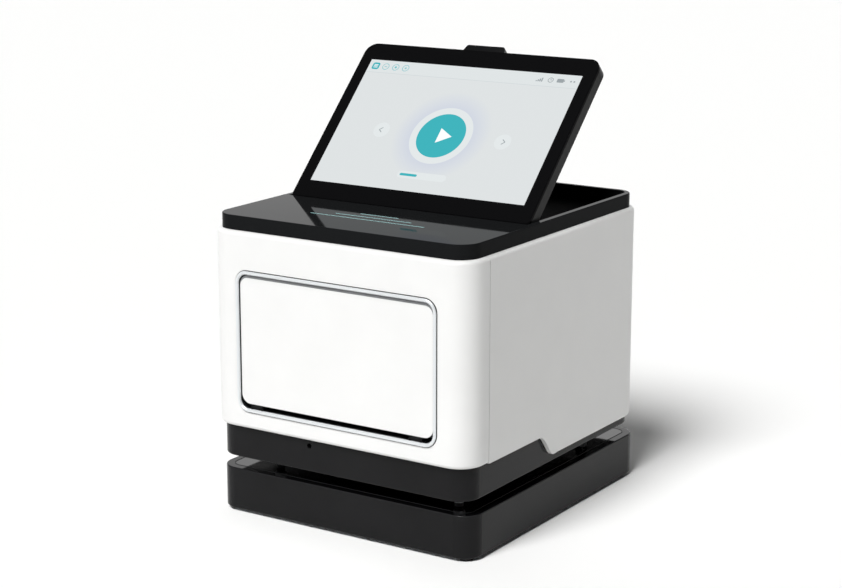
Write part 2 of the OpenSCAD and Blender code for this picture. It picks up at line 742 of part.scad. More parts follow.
// Fixed half of each hinge: a foot on the cover's recess and a barrel round the pin
module hinge_brackets() set_down() color("#7b7e81") for (s = [-1, 1])
  translate([s * hinge_x, hinge_y, 0]) difference() {
    union() {
      translate([-barrel_l / 2, 0, hinge_z]) rotate([0, 90, 0]) cylinder(r = knuckle_r, h = barrel_l);
      translate([-barrel_l / 2, -knuckle_r, recess_floor]) cube([barrel_l, knuckle_r + 0.6, hinge_z - recess_floor]);
      translate([-barrel_l / 2 - 9, -knuckle_r - 2, recess_floor])
        cube([barrel_l + 18, knuckle_r + 2.6, bracket_foot]);
    }
    translate([-barrel_l, 0, hinge_z]) rotate([0, 90, 0]) cylinder(r = hinge_pin_r + pin_run, h = 2 * barrel_l);
    for (x = [-1, 1]) translate([x * hinge_screw_x, hinge_screw_y, recess_floor - 1])
      cylinder(r = small_screw_r + pin_run, h = 5);
  }

module at_hinge_screws() for (s = [-1, 1], x = [-1, 1])
  translate([s * hinge_x + x * hinge_screw_x, hinge_y + hinge_screw_y, 0]) children();

module hinge_screws() set_down() color("#b4b6b8") at_hinge_screws()
  translate([0, 0, recess_floor + bracket_foot]) pan_screw(2.1, 1.1, small_screw_r, bracket_foot + 2.2);

leaf_t = 2;

// Moving half: two knuckles and a leaf that runs up inside the display
module hinge_leaves() set_down() color("#7b7e81") at_display() for (s = [-1, 1])
  translate([s * hinge_x, 0, 0]) difference() {
    union() {
      for (k = [-1, 1]) translate([k * (barrel_l / 2 + 0.4 + knuckle_l / 2) - knuckle_l / 2, 0, 0]) {
        rotate([0, 90, 0]) cylinder(r = knuckle_r, h = knuckle_l);
        translate([0, 0, -knuckle_r]) cube([knuckle_l, knuckle_r + 3, leaf_t]);
      }
      translate([-hinge_w / 2, knuckle_r + 1, -knuckle_r]) cube([hinge_w, 10, leaf_t]);
    }
    translate([-hinge_w, 0, 0]) rotate([0, 90, 0]) cylinder(r = hinge_pin_r, h = 2 * hinge_w);
  }

module hinge_pins() set_down() color("#c2c4c6") at_display() for (s = [-1, 1])
  translate([s * hinge_x - hinge_w / 2, 0, 0]) rotate([0, 90, 0]) cylinder(r = hinge_pin_r, h = hinge_w);

// ---------------------------------------------------------------- door

// Bead with a rounded face that stands on the frame and fills the panel's opening
module ring_profile() {
  intersection() {
    translate([ring_band / 2, 0]) circle(ring_band / 2);
    square([ring_band, ring_proud]);
  }
  translate([0, -panel_t]) square([ring_band, panel_t + 0.4]);
}

module door_ring() set_down() color("#d3d5d7") translate([0, front_y, ring_mid_z]) rotate([90, 0, 0])
  plan_sweep(ring_w, ring_h, ring_r, ring_r) ring_profile();

module door_frame() set_down() color("#1e1e1e") {
  translate([0, frame_front, ring_mid_z]) rotate([-90, 0, 0]) linear_extrude(frame_depth) difference() {
    round_rect(open_w + 2 * frame_band, open_h + 2 * frame_band, 8);
    round_rect(open_w, open_h, open_r);
  }
  // Lugs that hold the hinge pins, on the sill
  difference() {
    for (s = [-1, 1], k = [-1, 1]) translate([s * ear_x + k * (ear_w / 2 + 0.4 + lug_t / 2) - lug_t / 2, 0, 0]) {
      translate([0, door_axis_y, open_low]) cube([lug_t, 10, door_axis_z - open_low + ear_r]);
      translate([0, door_axis_y - ear_r, open_low]) cube([lug_t, ear_r + 1, door_axis_z - open_low]);
      translate([0, door_axis_y, door_axis_z]) rotate([0, 90, 0]) cylinder(r = ear_r, h = lug_t);
      translate([0, frame_front, open_low - 1]) cube([lug_t, 8, 2]);
    }
    translate([0, door_axis_y, door_axis_z]) rotate([0, 90, 0]) cylinder(r = door_pin_r, h = ring_w, center = true);
  }
}

module door_pins() set_down() color("#c2c4c6") for (s = [-1, 1])
  translate([s * ear_x, door_axis_y, door_axis_z]) rotate([0, 90, 0])
    cylinder(r = door_pin_r, h = ear_w + 0.8 + 2 * lug_t, center = true);

module door_outline(inset)
  translate([0, (door_high + door_low) / 2]) round_rect(door_w - 2 * inset, door_h - 2 * inset, door_r - inset);

// Moulded outer door: a face with a turned-in wall
module door_panel() set_down() color("#fbfbfb")
  translate([0, door_face_y, 0]) rotate([90, 0, 0]) mirror([0, 0, 1]) difference() {
    linear_extrude(door_t - door_liner_t) door_outline(0);
    translate([0, 0, panel_t]) linear_extrude(door_t) door_outline(panel_t);
  }

strike_x = 60;
strike_w = 24;
strike_h = 10;

// Dark inner door, with two arms that reach forward under the outer door to the hinge pins
module door_inner_panel() set_down() color("#3a3c3e") difference() {
  union() {
    translate([0, door_back_y - door_liner_t, 0]) rotate([90, 0, 0]) mirror([0, 0, 1])
      linear_extrude(door_liner_t) door_outline(0.4);
    for (s = [-1, 1]) translate([s * ear_x - ear_w / 2, 0, door_axis_z]) {
      translate([0, door_axis_y, 0]) rotate([0, 90, 0]) cylinder(r = ear_r, h = ear_w);
      translate([0, door_axis_y, 0.4 - ear_r]) cube([ear_w, door_back_y - door_axis_y, 2 * ear_r - 0.4]);
      translate([0, door_back_y - door_liner_t, 0]) cube([ear_w, door_liner_t, door_low - door_axis_z + 2]);
    }
  }
  translate([0, door_axis_y, door_axis_z]) rotate([0, 90, 0])
    cylinder(r = door_pin_r + pin_run, h = ring_w, center = true);
  for (s = [-1, 1]) translate([s * strike_x - strike_w / 2, door_back_y - 1, door_high - 3 - strike_h])
    cube([strike_w, 2, strike_h]);
}

module door_strikes() set_down() color("#b9bbbd") for (s = [-1, 1])
  translate([s * strike_x - strike_w / 2, door_back_y - 1, door_high - 3 - strike_h])
    cube([strike_w, 0.9, strike_h]);

// Magnetic catches under the head of the frame
module door_catches() set_down() color("#2b2d2f") for (s = [-1, 1])
  translate([s * strike_x - strike_w / 2, door_back_y + 0.3, open_high - 13]) {
    cube([strike_w, frame_back - door_back_y + 4, 9]);
    translate([0, 0, 9 - EPS]) cube([strike_w, frame_back - door_back_y - 0.4, 4 + EPS]);
  }

// ---------------------------------------------------------------- bay, deck and drawer

bay_depth = bay_rear - frame_back;

// Folded steel: two side walls, a roof and a rear wall, with feet on the chassis floor
module bay_frame() set_down() color("#c6c9cb") difference() {
  union() {
    for (s = [0, 1]) mirror([s, 0, 0]) {
      translate([bay_w / 2, frame_back, deck_floor]) cube([bay_wall, bay_depth, bay_roof + bay_wall - deck_floor]);
      translate([bay_w / 2, frame_back, deck_floor]) cube([14, bay_depth, bay_wall]);
    }
    translate([-bay_w / 2 - bay_wall, frame_back, bay_roof]) cube([bay_w + 2 * bay_wall, bay_depth, bay_wall]);
    translate([-bay_w / 2 - bay_wall, bay_rear - bay_wall, deck_floor])
      cube([bay_w + 2 * bay_wall, bay_wall, bay_roof + bay_wall - deck_floor]);
  }
  // Cable and air way at the foot of the rear wall
  translate([0, bay_rear, deck_floor + 24]) cube([120, 3 * bay_wall, 24], center = true);
  for (p = frame_screw_places) translate([p[0], p[1], deck_floor - 1]) cylinder(r = 2, h = bay_wall + 2);
}

frame_screw_places = [for (x = [-1, 1], y = [0.1, 0.5, 0.9]) [x * (bay_w / 2 + 8), frame_back + bay_depth * y]];

module frame_screws() set_down() color("#b4b6b8")
  for (p = frame_screw_places) translate([p[0], p[1], deck_floor + bay_wall]) pan_screw(3.2, 2, 1.9, bay_wall);

deck_front = frame_back + 6;

// Machined plate across the bay that carries the rails, with a cut-out over the pumps
module drawer_deck() set_down() color("#aeb2b5") difference() {
  translate([-bay_w / 2, deck_front, deck_top - deck_t]) cube([bay_w, bay_rear - bay_wall - deck_front, deck_t]);
  translate([0, (deck_front + bay_rear) / 2, deck_top]) linear_extrude(20, center = true) round_rect(90, 120, 8);
}

module drawer_rails() set_down() color("#d6d8da") for (s = [-1, 1])
  translate([s * rail_span / 2, 0, deck_top]) difference() {
    translate([-rail_w / 2, rail_front, 0]) cube([rail_w, rail_rear - rail_front, rail_h]);
    for (i = [0:6]) translate([0, rail_front + 10 + i * (rail_rear - rail_front - 20) / 6, rail_h - 3])
      cylinder(r = 2.4, h = 4);
  }

module drawer_carriages() set_down() color("#8a8e91") for (s = [-1, 1])
  translate([s * rail_span / 2, carriage_rear - carriage_l, carriage_low]) difference() {
    translate([-rail_w / 2 - 5, 0, 0]) cube([rail_w + 10, carriage_l, carriage_high - carriage_low]);
    translate([-rail_w / 2 - rail_gap, -1, -1])
      cube([rail_w + 2 * rail_gap, carriage_l + 2, deck_top + rail_h + rail_gap - carriage_low + 1]);
  }

tray_w = rail_span + 30;

// Drawer plate with a window for the chip seat and a pull at its front edge
module cartridge_drawer() set_down() color("#3b3e41") translate([0, drawer_front, carriage_high]) difference() {
  union() {
    translate([-tray_w / 2, 0, 0]) cube([tray_w, drawer_l, plate_t]);
    translate([-24, -6, 0]) cube([48, 7, plate_t]);
  }
  translate([0, chip_back, plate_t]) linear_extrude(10, center = true) round_rect(64.6, 50.6, 4.3);
}

// Two ribbed walls and a back stop that stand on the plate and hold the cartridge between them
module cartridge_guides() set_down() color("#2f3235") translate([0, drawer_front, plate_top]) {
  for (s = [0, 1]) mirror([s, 0, 0]) translate([pocket_w / 2, guide_t, 0]) {
    cube([guide_t, pocket_l, drawer_wall_h]);
    for (i = [0:3]) translate([guide_t - 0.5, 8 + i * (pocket_l - 26) / 3, 0]) rotate([90, 0, 0])
      linear_extrude(3, center = true) polygon([[0, 0], [10.5, 0], [0.5, drawer_wall_h - 3], [0, drawer_wall_h - 3]]);
  }
  translate([0.3 - pocket_w / 2, pocket_l, 0]) cube([pocket_w - 0.6, guide_t, drawer_wall_h]);
}

// Warmed seat for the sequencing chip, let into the drawer plate
module chip_seat() set_down() color("#b98f3a") translate([0, drawer_front + chip_back, carriage_high]) {
  linear_extrude(plate_t - 0.4) round_rect(64, 50, 4);
  translate([0, 0, -3]) linear_extrude(3 + EPS) round_rect(50, 36, 3);
}

head_w = 110;
head_d = 96;
head_y = drawer_front + chip_back;
nose_h = 10;

// Reader that looks down on the chip, hung from the roof of the bay
module sensor_head() set_down() color("#34373a") translate([0, head_y, head_low]) {
  translate([0, 0, nose_h]) linear_extrude(bay_roof - head_low - nose_h) round_rect(head_w, head_d, 8);
  cylinder(r1 = 18, r2 = 26, h = nose_h + EPS);
}

sink_w = head_w - 10;
sink_d = head_d - 8;
fin_count = 13;
fin_t = 2;

// Finned block on top of the roof, over the reader
module heat_sink() set_down() color("#9fa3a6") translate([-sink_w / 2, head_y - sink_d / 2, bay_roof + bay_wall]) {
  cube([sink_w, sink_d, 4]);
  for (i = [0:fin_count - 1]) translate([i * (sink_w - fin_t) / (fin_count - 1), 0, 3.9]) cube([fin_t, sink_d, 14]);
}

// ---------------------------------------------------------------- fan, inlet, switch and ports

fan_screw = fan_size / 2 - 4.8;

// Square frame with a round air way, four stays and a hub at the inner end
module cooling_fan_frame() set_down() color("#161616") translate([fan_x, fan_y, fan_z]) rotate([90, 0, 0]) difference() {
  union() {
    difference() {
      linear_extrude(fan_depth) round_rect(fan_size, fan_size, 4);
      translate([0, 0, -1]) cylinder(r = fan_bore_r, h = fan_depth + 2);
    }
    translate([0, 0, fan_depth - 4]) cylinder(r = fan_hub_r, h = 4);
    for (a = [45:90:315]) rotate([0, 0, a]) translate([fan_hub_r - 2, -2, fan_depth - 4])
      cube([fan_bore_r - fan_hub_r + 4, 4, 4]);
  }
  translate([0, 0, fan_depth - 5]) cylinder(r = spindle_r + pin_run, h = 6);
  for (x = [-1, 1], y = [-1, 1]) translate([x * fan_screw, y * fan_screw, -1]) cylinder(r = 2.15, h = fan_depth + 2);
}

blade_count = 7;

module cooling_fan_rotor() set_down() color("#202020") translate([fan_x, fan_y, fan_z]) rotate([90, 0, 0]) {
  translate([0, 0, 3]) cylinder(r = fan_hub_r, h = fan_depth - 8);
  translate([0, 0, 3]) cylinder(r = spindle_r, h = fan_depth - 3.5);
  intersection() {
    for (i = [0:blade_count - 1]) rotate([0, 0, i * 360 / blade_count])
      translate([fan_hub_r - 3, 0, 3 + (fan_depth - 8) / 2]) rotate([38, 0, 0])
        cube([fan_bore_r, 1.8, fan_depth - 4]);
    translate([0, 0, 3]) cylinder(r = fan_bore_r - 1.2, h = fan_depth - 8);
  }
}

guard_t = 1.6;

// Stamped finger guard on the outside of the back
module fan_guard() set_down() color("#c0c2c4") translate([fan_x, rear_y - panel_t + guard_t, fan_z]) rotate([90, 0, 0])
  linear_extrude(guard_t) difference() {
    union() {
      for (r = [11:8:fan_bore_r + 1]) difference() {
        circle(r + 1);
        circle(r - 1);
      }
      for (a = [45, 135]) rotate(a) {
        square([2 * fan_screw * sqrt(2), 2.4], center = true);
        for (s = [-1, 1]) translate([s * fan_screw * sqrt(2), 0]) circle(4.6);
      }
    }
    for (x = [-1, 1], y = [-1, 1]) translate([x * fan_screw, y * fan_screw]) circle(2.1);
  }

module fan_screws() set_down() color("#b4b6b8") for (x = [-1, 1], z = [-1, 1])
  translate([fan_x + x * fan_screw, rear_y - panel_t + guard_t, fan_z + z * fan_screw]) rotate([-90, 0, 0])
    pan_screw(3.6, 2, 1.6, 12);

// Mains inlet with a flange outside the back, a recess and three blades
module power_inlet() set_down() color("#1b1b1b") translate([inlet_x, rear_y - panel_t, inlet_z]) {
  difference() {
    union() {
      rotate([-90, 0, 0]) linear_extrude(2.2) round_rect(40, 27, 4);
      translate([-13.5, -22, -10]) cube([27, 22 + EPS, 20]);
    }
    translate([-12, -18, -8]) cube([24, 22, 16]);
  }
  for (p = [[-7, -1.5], [0, 2], [7, -1.5]]) translate([p[0] - 1, -18 - EPS, p[1] - 2]) cube([2, 12, 4]);
}

rocker_w = 12;
rocker_axis = 4;

module switch_housing() set_down() color("#1b1b1b") translate([switch_x, rear_y - panel_t, inlet_z]) difference() {
  union() {
    rotate([-90, 0, 0]) linear_extrude(1.8) round_rect(21, 15, 1.5);
    translate([-9.5, -16, -6.5]) cube([19, 16 + EPS, 13]);
  }
  translate([-8, -12, -rocker_w / 2 + 0.6]) cube([16, 16, rocker_w - 1.2]);
  translate([0, -rocker_axis, 0]) cylinder(r = 1 + pin_run, h = 12, center = true);
}

// Rocker that tips about an upright pin, at rest with its left half pressed in
module power_rocker() set_down() color("#262626")
  translate([switch_x, rear_y - panel_t - rocker_axis, inlet_z]) rotate([0, 0, rocker_tilt]) {
    linear_extrude(rocker_w - 2, center = true)
      polygon([[-6.8, 3.2], [-6.8, 6.2], [0, 5.4], [6.8, 6.2], [6.8, 3.2], [3, -2], [-3, -2]]);
    cylinder(r = 1, h = rocker_w - 0.4, center = true);
  }

// Small board behind the back with the network and data sockets on it
module port_board() set_down() color("#1f5e46")
  translate([port_x - 34, rear_y - panel_t - 24, port_z - network_h / 2 - 1.6]) cube([68, 20, 1.6]);

module socket_box(w, h, d, wall) difference() {
  translate([-w / 2, -d, -h / 2]) cube([w, d, h]);
  translate([-w / 2 + wall, -d + wall + 1, -h / 2 + wall]) cube([w - 2 * wall, d, h - 2 * wall]);
}

module network_port() set_down() color("#b7babc")
  translate([port_x + network_x, rear_y - panel_t, port_z]) socket_box(network_w, network_h, 19, 1.6);

// Two data sockets, each with its tongue and a stand that brings it level with the other
module usb_ports() set_down() color("#b7babc")
  for (x = usb_x) translate([port_x + x, rear_y - panel_t, port_z]) {
    socket_box(usb_w, usb_h, 17, 0.6);
    translate([-5.5, -16.5, -1.2]) cube([11, 12, 1.8]);
    translate([-usb_w / 2, -17, -network_h / 2]) cube([usb_w, 8, (network_h - usb_h) / 2 + EPS]);
  }

// ---------------------------------------------------------------- power and control

supply_w = 150;
supply_d = 60;
supply_h = 44;

// Closed supply with air slots in its front wall, behind the mains inlet
module power_supply() set_down() color("#b9bcbe")
  translate([inlet_x - 24, bay_rear + 14, deck_floor]) difference() {
    cube([supply_w, supply_d, supply_h]);
    for (i = [0:9]) translate([12 + i * 13, -1, 10]) cube([4, 3, supply_h - 18]);
  }

main_w = bay_w - 56;
main_h = 150;
main_low = panel_z + 38;
main_standoff = 8;

// Control board on the back of the bay: a processor, a driver chip and a row of connectors
module main_board() set_down() color("#1c6b4a")
  translate([-main_w / 2, bay_rear + main_standoff, main_low]) {
    cube([main_w, 1.6, main_h]);
    translate([56, 1.5, 58]) cube([40, 8, 40]);
    translate([126, 1.5, 72]) cube([26, 4, 26]);
    for (i = [0:3]) translate([12 + i * 9, 1.5, 22]) cube([5, 8, 90]);
  }

module board_standoffs() set_down() color("#c9a94e")
  for (x = [-1, 1], z = [10, main_h - 10]) translate([x * (main_w / 2 - 8), bay_rear, main_low + z])
    rotate([-90, 0, 0]) cylinder(r = 3.2, h = main_standoff, $fn = 6);

module pump_block() set_down() color("#4b4f53") translate([-60, deck_front + 60, deck_floor]) {
  cube([46, 70, 34]);
  translate([23, 16, 33]) cylinder(r = 11, h = 24);
  translate([23, 52, 33]) cylinder(r = 11, h = 24);
}

module valve_manifold() set_down() color("#d9dcde") translate([14, deck_front + 60, deck_floor]) {
  cube([50, 70, 18]);
  for (i = [0:4]) translate([10, 11 + i * 12, 17]) cylinder(r = 4, h = 22);
  for (i = [0:4]) translate([36, 11 + i * 12, 17]) cylinder(r = 2.2, h = 9);
}

base_shell();
base_top_plate();
base_bottom_plate();
base_feet();
base_screws();
unit_feet();
unit_foot_pads();
chassis_tray();
front_panel();
left_side_panel();
right_side_panel();
rear_panel();
rear_screws();
top_cover();
status_light_bars();
status_light_board();
display_bumpers();
hinge_brackets();
hinge_screws();
hinge_leaves();
hinge_pins();
display_bezel();
lcd_panel();
display_back();
display_board();
door_ring();
door_frame();
door_panel();
door_inner_panel();
door_strikes();
door_catches();
door_pins();
bay_frame();
frame_screws();
drawer_deck();
drawer_rails();
drawer_carriages();
cartridge_drawer();
cartridge_guides();
chip_seat();
sensor_head();
heat_sink();
cooling_fan_frame();
cooling_fan_rotor();
fan_guard();
fan_screws();
power_inlet();
switch_housing();
power_rocker();
port_board();
network_port();
usb_ports();
power_supply();
main_board();
board_standoffs();
pump_block();
valve_manifold();
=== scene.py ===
"""Benchtop sequencer: finishes, screen picture and small trim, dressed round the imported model."""
import math

import bmesh
import bpy
from mathutils import Matrix, Vector


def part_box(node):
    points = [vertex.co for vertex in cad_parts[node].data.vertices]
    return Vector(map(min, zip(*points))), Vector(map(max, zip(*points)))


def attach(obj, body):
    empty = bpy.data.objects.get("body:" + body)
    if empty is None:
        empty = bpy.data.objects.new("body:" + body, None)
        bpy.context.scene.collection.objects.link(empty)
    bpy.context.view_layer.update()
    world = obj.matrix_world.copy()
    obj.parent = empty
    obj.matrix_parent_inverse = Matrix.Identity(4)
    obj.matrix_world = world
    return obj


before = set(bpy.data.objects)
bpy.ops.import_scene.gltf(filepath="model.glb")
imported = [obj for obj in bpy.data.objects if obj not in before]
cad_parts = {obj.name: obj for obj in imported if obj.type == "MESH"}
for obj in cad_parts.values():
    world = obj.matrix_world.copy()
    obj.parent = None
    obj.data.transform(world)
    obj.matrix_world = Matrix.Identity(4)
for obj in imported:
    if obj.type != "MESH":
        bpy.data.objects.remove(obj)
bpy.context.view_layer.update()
scene = bpy.context.scene


# ---------------------------------------------------------------- studio
# A pale matt floor in a plain room. The wall behind the left corner is the brightest, so that
# the glossy top mirrors it, and the ceiling is dim, so that the display's frame stays black.
def linear(code):
    """The linear colour of an sRGB hex value."""
    parts = [int(code[i:i + 2], 16) / 255 for i in (1, 3, 5)]
    return tuple([c / 12.92 if c <= 0.04045 else ((c + 0.055) / 1.055) ** 2.4 for c in parts] + [1.0])


def add(owner, kind, inputs=(), stops=(), **settings):
    """Adds one shader node with its settings and colour stops, and sets or links its inputs."""
    node = owner.node_tree.nodes.new(kind)
    for name, value in settings.items():
        setattr(node, name, value)
    for name, value in dict(inputs).items():
        if isinstance(value, bpy.types.NodeSocket):
            owner.node_tree.links.new(value, node.inputs[name])
        else:
            node.inputs[name].default_value = value
    if stops:
        elements = node.color_ramp.elements
        while len(elements) < len(stops):
            elements.new(0.5)
        for element, (place, colour) in zip(elements, stops):
            element.position, element.color = place, linear(colour)
    return node


def new_material(name):
    """An empty material."""
    material = bpy.data.materials.new(name)
    material.use_nodes = True
    material.node_tree.nodes.clear()
    return material


def surface(material, inputs):
    """Closes a material with its Principled shader and its output."""
    shader = add(material, "ShaderNodeBsdfPrincipled", inputs)
    add(material, "ShaderNodeOutputMaterial", {"Surface": shader.outputs["BSDF"]})
    return material


scene.view_settings.view_transform = "Standard"
room = bpy.data.worlds.new("studio_room")
room.use_nodes = True
room.node_tree.nodes.clear()
direction = add(room, "ShaderNodeTexCoord").outputs["Generated"]
height = add(room, "ShaderNodeSeparateXYZ", {"Vector": direction}).outputs["Z"]
walls = add(room, "ShaderNodeValToRGB", {"Fac": height}, stops=[
    (0.0, "#e6e6e6"), (0.35, "#d0d0d0"), (0.6, "#5a5a5a"), (1.0, "#505050")]).outputs["Color"]
TO_BRIGHT_WALL = (-0.55, 0.83, 0.0)
facing = add(room, "ShaderNodeVectorMath", {0: direction, 1: TO_BRIGHT_WALL}, operation="DOT_PRODUCT")
level = add(room, "ShaderNodeMapRange", {
    "Value": facing.outputs["Value"], "From Min": 0.3, "From Max": 0.85, "To Min": 0.08, "To Max": 1.75})
light = add(room, "ShaderNodeBackground", {"Color": walls, "Strength": level.outputs["Result"]})
add(room, "ShaderNodeOutputWorld", {"Surface": light.outputs["Background"]})
scene.world = room

# The floor's matt paint throws the light back evenly and keeps no mirror image.
FLOOR_SIZE = 30.0
floor_mesh = bmesh.new()
bmesh.ops.create_grid(floor_mesh, x_segments=1, y_segments=1, size=FLOOR_SIZE / 2)
floor_data = bpy.data.meshes.new("studio_floor")
floor_mesh.to_mesh(floor_data)
floor_mesh.free()
floor = bpy.data.objects.new("studio_floor", floor_data)
scene.collection.objects.link(floor)
floor_data.materials.append(surface(new_material("floor_matt_paint"), {
    "Base Color": linear("#f8f8f7"), "Roughness": 0.7, "Specular IOR Level": 0.2}))

# One broad lamp far away stands high in front. It reaches the front and the floor alike, and
# leaves the right side to the light that the floor throws back.
LAMP_STRENGTH = 3.8
LAMP_WIDTH = math.radians(24)
LAMP_DOWN = math.radians(54)
UPRIGHT = math.radians(90)
lamp_data = bpy.data.lights.new("key_lamp", "SUN")
lamp_data.energy, lamp_data.angle = LAMP_STRENGTH, LAMP_WIDTH
lamp = bpy.data.objects.new("key_lamp", lamp_data)
lamp.rotation_euler = (UPRIGHT - LAMP_DOWN, 0, 0)
scene.collection.objects.link(lamp)

# The camera stands to the right of the front, a little above the display.
CAMERA_PLACE = (1.1818, -1.8249, 0.7448)
CAMERA_DOWN = math.radians(13.42)
CAMERA_LEFT = math.radians(33.22)
SENSOR_WIDTH, LENS = 36.0, 87.07
camera_data = bpy.data.cameras.new("camera")
camera_data.sensor_width, camera_data.lens = SENSOR_WIDTH, LENS
camera = bpy.data.objects.new("camera", camera_data)
camera.location = CAMERA_PLACE
camera.rotation_euler = (UPRIGHT - CAMERA_DOWN, 0, CAMERA_LEFT)
scene.collection.objects.link(camera)
scene.camera = camera

# ---------------------------------------------------------------- plinth
# The plinth is moulded in glossy black ABS, and a polished top plate of the same stuff is
# dropped into its rim. A zinc-plated plate closes it from below.
MM = 0.001
# The real grain of the tool is about 0.3 mm, drawn at 0.9 mm so that it shows.
GRAIN = 0.9 * MM
# How weakly the black mouldings mirror the room, and how smooth their polished faces are.
DIM = 0.1
POLISH = 0.05
# Further out than any piece, in metres.
EVERYWHERE = 1.0


def dress(material, *names):
    """Gives a material to CAD nodes."""
    for name in names:
        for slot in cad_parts[name].material_slots:
            slot.material = material


def inside(material, place, low, high):
    """One inside a box, nought outside it."""
    middle, half = (low + high) / 2, (high - low) / 2
    away = add(material, "ShaderNodeVectorMath", {0: place, 1: middle}, operation="SUBTRACT")
    away = add(material, "ShaderNodeVectorMath", {0: away.outputs["Vector"]}, operation="ABSOLUTE")
    away = add(material, "ShaderNodeVectorMath", {0: away.outputs["Vector"], 1: half}, operation="SUBTRACT")
    parts = add(material, "ShaderNodeSeparateXYZ", {"Vector": away.outputs["Vector"]}).outputs
    far = add(material, "ShaderNodeMath", {0: parts["X"], 1: parts["Y"]}, operation="MAXIMUM")
    far = add(material, "ShaderNodeMath", {0: far.outputs["Value"], 1: parts["Z"]}, operation="MAXIMUM")
    return add(material, "ShaderNodeMath", {0: far.outputs["Value"], 1: 0.0},
               operation="LESS_THAN").outputs["Value"]


def slab(low, high):
    """The box of all points between two heights."""
    return Vector((-EVERYWHERE, -EVERYWHERE, low)), Vector((EVERYWHERE, EVERYWHERE, high))


def moulded(name, dark, light, roughness, grain, depth, spread=0.06, level=0.5, rim_shade_and_highlight=None):
    """A moulded or sprayed skin: an even colour that drifts slowly, and a grain that softens its gloss.

    Two rim boxes may come with a colour each: the first is polished and coloured darker, a painted shade, the
    second coloured lighter, a painted highlight.
    """
    material = new_material(name)
    place = add(material, "ShaderNodeTexCoord").outputs["Object"]
    drift = add(material, "ShaderNodeTexNoise", {
        "Vector": place, "Scale": 1 / (60 * MM), "Detail": 2.0}).outputs["Fac"]
    skin = add(material, "ShaderNodeTexNoise", {
        "Vector": place, "Scale": 1 / grain, "Detail": 3.0, "Roughness": 0.6}).outputs["Fac"]
    gloss = add(material, "ShaderNodeMapRange", {
        "Value": drift, "From Min": 0.3, "From Max": 0.7,
        "To Min": roughness - spread, "To Max": roughness + spread}).outputs["Result"]
    colour = add(material, "ShaderNodeValToRGB", {"Fac": drift},
                 stops=[(0.3, dark), (0.7, light)]).outputs["Color"]
    if rim_shade_and_highlight:
        shares = [(inside(material, place, *box), code) for box, code in rim_shade_and_highlight]
        for share, code in shares:
            colour = add(material, "ShaderNodeMix", {0: share, 6: colour, 7: linear(code)},
                         data_type="RGBA").outputs[2]
        gloss = add(material, "ShaderNodeMapRange", {
            "Value": shares[0][0], "To Min": gloss, "To Max": POLISH}).outputs["Result"]
    bump = add(material, "ShaderNodeBump", {"Height": skin, "Distance": depth, "Strength": 0.6})
    return surface(material, {
        "Base Color": colour, "Roughness": gloss, "IOR": 1.54, "Normal": bump.outputs["Normal"],
        "Specular IOR Level": level})


# The shell's walls have the soft gloss of the tool, and its flat rim is polished like the plate and coloured
# darker, a painted shade under the chassis.
# The round between them is coloured lighter, a painted highlight along the edge.
base_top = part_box("base_shell")[1].z
FLAT_DEPTH, ROUND_DEPTH = 0.15 * MM, 1.1 * MM
dress(moulded("black_abs_gloss", "#151516", "#19191a", 0.16, GRAIN, 0.004 * MM, spread=0.03, level=DIM, rim_shade_and_highlight=[
    # Painted shade: the flat rim under the chassis is coloured darker than the walls.
    (slab(base_top - FLAT_DEPTH, EVERYWHERE), "#060607"),
    # Painted highlight: the round of the top edge is coloured a lighter grey.
    (slab(base_top - ROUND_DEPTH, base_top - FLAT_DEPTH), "#232324"),
]), "base_shell")

# The plate is a deep black mirror with faint scuffs. Its bevelled edge is coloured a lighter
# grey, a painted highlight that draws a fine line along it.
plate = new_material("black_abs_polished_plate")
place = add(plate, "ShaderNodeTexCoord").outputs["Object"]
flat = inside(plate, place, *slab(base_top - 0.05 * MM, EVERYWHERE))
# Painted highlight: the bevel below the flat top is coloured lighter grey than the plate.
edge_highlight_colour = add(plate, "ShaderNodeValToRGB", {"Fac": flat}, stops=[(0.0, "#343536"), (1.0, "#060607")])
scuffs = add(plate, "ShaderNodeTexNoise", {"Vector": place, "Scale": 1 / (40 * MM), "Detail": 4.0})
gloss = add(plate, "ShaderNodeMapRange", {
    "Value": scuffs.outputs["Fac"], "From Min": 0.4, "From Max": 0.8, "To Min": POLISH, "To Max": 0.09})
dress(surface(plate, {
    "Base Color": edge_highlight_colour.outputs["Color"], "Roughness": gloss.outputs["Result"],
    "IOR": 1.54, "Specular IOR Level": 0.25}), "base_top_plate")


def metal(name, colour, roughness, line, depth, along=(1, 1, 1)):
    """A metal surface: its tint, and the marks of how it was worked, stretched along one way.

    Real marks are about 0.1 mm apart. The line is the spacing they are drawn at, so that they show.
    """
    material = new_material(name)
    place = add(material, "ShaderNodeTexCoord").outputs["Object"]
    stretched = add(material, "ShaderNodeMapping", {"Vector": place, "Scale": along}).outputs["Vector"]
    marks = add(material, "ShaderNodeTexNoise", {
        "Vector": stretched, "Scale": 1 / line, "Detail": 4.0, "Roughness": 0.65}).outputs["Fac"]
    cloud = add(material, "ShaderNodeTexNoise", {
        "Vector": place, "Scale": 1 / (30 * MM), "Detail": 2.0}).outputs["Fac"]
    gloss = add(material, "ShaderNodeMapRange", {
        "Value": cloud, "From Min": 0.3, "From Max": 0.7,
        "To Min": roughness - 0.05, "To Max": roughness + 0.05}).outputs["Result"]
    bump = add(material, "ShaderNodeBump", {"Height": marks, "Distance": depth, "Strength": 0.5})
    return surface(material, {
        "Base Color": linear(colour), "Metallic": 1.0, "Roughness": gloss, "Normal": bump.outputs["Normal"]})


# Zinc plating: cool, a little cloudy, with fine rolling lines.
zinc_plate = metal("zinc_plated_steel", "#b9bdc1", 0.34, 0.8 * MM, 0.01 * MM, (1, 6, 1))
dress(zinc_plate, "base_bottom_plate", "base_screws", "rear_screws", "frame_screws",
      "hinge_screws", "fan_screws")


